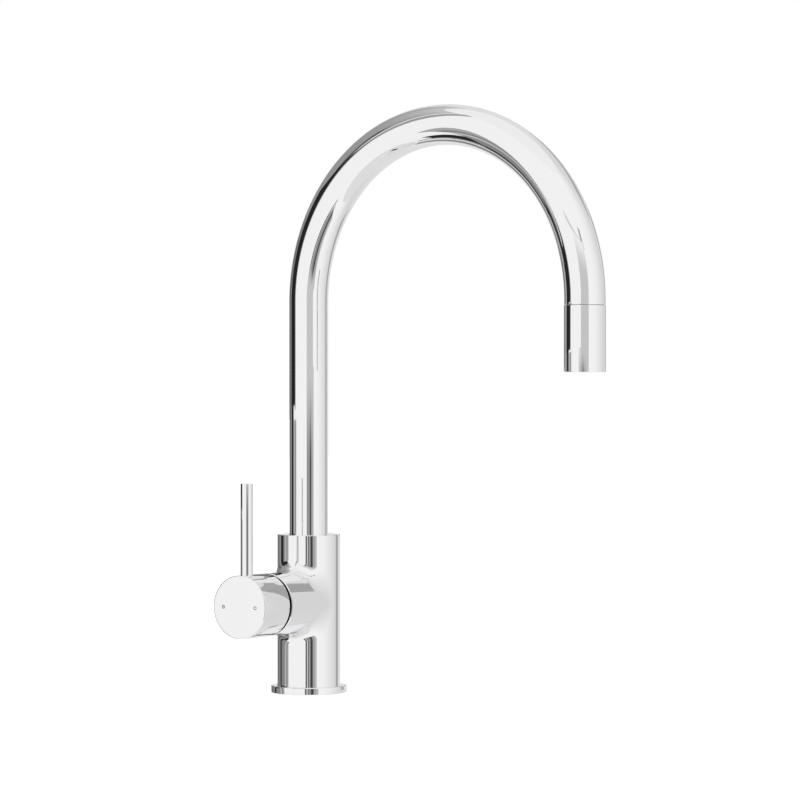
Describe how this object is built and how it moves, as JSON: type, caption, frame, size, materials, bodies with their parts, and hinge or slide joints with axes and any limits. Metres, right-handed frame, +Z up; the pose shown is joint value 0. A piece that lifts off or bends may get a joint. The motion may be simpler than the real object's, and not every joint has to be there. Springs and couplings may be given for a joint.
{
  "type": "pull down kitchen faucet",
  "caption": "Deck-mounted single-lever kitchen mixer tap with a round gooseneck spout, pull-down spray head and side pin lever.",
  "frame": {"origin": "on the tap body's axis, in the plane of the flange's underside, where the tap meets the deck", "axes": "+Z up along the body and riser, -X along the branch to the lever, and the user at -Y; the spout points along -Y, turned 5.8 degrees towards the lever"},
  "size_m": [0.1124, 0.284, 0.4147],
  "materials": {
    "polished_chrome": "polished electroplated chrome",
    "turned_brass": "machined, unplated",
    "black_plastic": "moulded, fine matte",
    "grey_plastic": "moulded, satin",
    "white_plastic": "moulded",
    "seal_rubber": "moulded nitrile",
    "ceramic": "lapped alumina ceramic",
    "stainless": "bright drawn",
    "braided_hose": "tight nylon braid",
    "mark_grey": "filled engraving"
  },
  "bodies": {
    "tap_body": {"body_casting": "polished_chrome", "base_ring": "polished_chrome", "base_gasket": "seal_rubber", "swivel_washer": "white_plastic", "neck_bush": "white_plastic", "neck_ring": "polished_chrome", "stop_screw": "stainless", "cartridge_base": "white_plastic", "cartridge_seals": "seal_rubber", "cartridge_housing": "white_plastic", "fixed_disc": "ceramic", "cartridge_nut": "turned_brass", "dress_dome": "black_plastic"},
    "spout": {"spout_tube": "polished_chrome", "spout_sleeve": "turned_brass", "sleeve_o_rings": "seal_rubber", "spout_dock": "black_plastic", "pull_hose": "braided_hose"},
    "spray_head": {"spray_shell": "polished_chrome", "spray_core": "black_plastic", "aerator_housing": "black_plastic", "aerator_insert": "grey_plastic", "aerator_gasket": "seal_rubber", "hose_washer": "seal_rubber", "hose_gland": "stainless", "hose_end": "braided_hose", "hose_leader": "braided_hose", "hose_nut": "turned_brass", "non_return_valve": "grey_plastic", "valve_spring": "stainless"},
    "poppet": {"valve_poppet": "grey_plastic"},
    "cartridge_rotor": {"cartridge_carrier": "white_plastic", "stem_pin": "stainless"},
    "mixing_disc": {"moving_disc": "ceramic", "disc_driver": "white_plastic"},
    "handle": {"cartridge_stem": "stainless", "handle_cap": "polished_chrome", "lever_pin": "polished_chrome", "handle_grub_screw": "stainless", "hot_mark": "mark_grey", "cold_mark": "mark_grey"}
  },
  "joints": [
    {"name": "spout_swivel", "type": "hinge", "parent": "tap_body", "child": "spout", "pos_m": [0, 0, 0.096], "axis": [0, 0, 1], "range_deg": [-64.2, 75.8]},
    {"name": "spray_pull", "type": "slide", "parent": "spout", "child": "spray_head", "axis": [0, 0, -1], "range_m": [0, 0.2], "stiffness_N_per_m": 5, "springref_m": -1, "deforming": ["hose_leader"]},
    {"name": "valve_lift", "type": "slide", "parent": "spray_head", "child": "poppet", "axis": [0, 0, -1], "range_m": [0, 0.0015], "stiffness_N_per_m": 40, "springref_m": -0.001, "deforming": ["valve_spring"]},
    {"name": "handle_turn", "type": "hinge", "parent": "tap_body", "child": "cartridge_rotor", "pos_m": [-0.038, 0, 0.0652], "axis": [-1, 0, 0], "range_deg": [-50, 50]},
    {"name": "handle_tilt", "type": "hinge", "parent": "cartridge_rotor", "child": "handle", "pos_m": [-0.038, 0, 0.0652], "axis": [0, -1, 0], "range_deg": [0, 12]},
    {"name": "disc_slide", "type": "slide", "parent": "cartridge_rotor", "child": "mixing_disc", "axis": [0, 0, 1], "range_m": [0, 0.00171]}
  ],
  "couplings": [
    {"joint": "disc_slide", "follows": "handle_tilt", "m_per_rad": 0.008}
  ]
}
